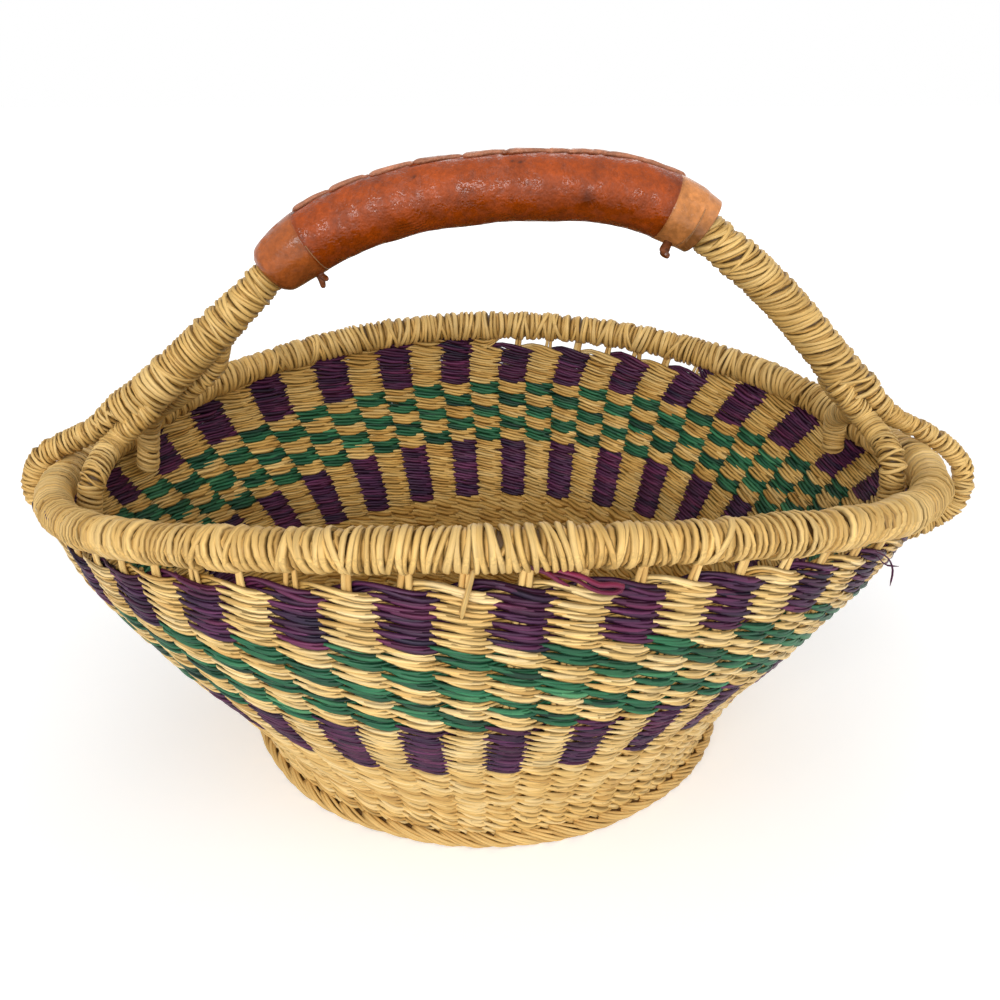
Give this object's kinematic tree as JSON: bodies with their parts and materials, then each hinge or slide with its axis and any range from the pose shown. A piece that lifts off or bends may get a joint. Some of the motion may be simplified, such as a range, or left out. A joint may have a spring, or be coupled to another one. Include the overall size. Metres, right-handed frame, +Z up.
{
  "type": "woven basket",
  "caption": "Flared grass basket on a round plaited foot, with an oval bound rim, an arched bound handle on three-legged ends and a laced leather grip.",
  "frame": {"origin": "on the floor under the middle of the overall length and width", "axes": "+X along the oval mouth and the handle, +Y toward the back of the mouth, +Z up"},
  "size_m": [0.4562, 0.3182, 0.2738],
  "materials": {
    "grass": "twisted dry grass straw, golden tan, with a dull waxy sheen",
    "grass_pale": "tightly wrapped grass straw, paler gold",
    "purple_grass": "dyed grass straw, dark purple blocks between natural ones",
    "green_grass": "dyed grass straw, green between natural stitches",
    "leather": "glossy reddish brown goat leather",
    "leather_pale": "the same leather, worn lighter at the end bands"
  },
  "bodies": {
    "root": {"foot_braid": "grass", "base_floor": "grass", "wall_natural": "grass", "band_lower_purple": "purple_grass", "band_green": "green_grass", "band_upper_purple": "purple_grass", "rim_binding": "grass_pale", "handle_bundle": "grass", "handle_binding_left": "grass_pale", "handle_binding_right": "grass_pale", "leg_outer_left": "grass_pale", "leg_outer_right": "grass_pale", "leg_front_left": "grass_pale", "leg_front_right": "grass_pale", "leg_rear_left": "grass_pale", "leg_rear_right": "grass_pale", "leather_cover": "leather", "leather_collar_left": "leather_pale", "leather_collar_right": "leather_pale", "leather_lacing": "leather", "leather_tie_left": "leather_pale", "leather_tie_right": "leather_pale"}
  },
  "joints": []
}
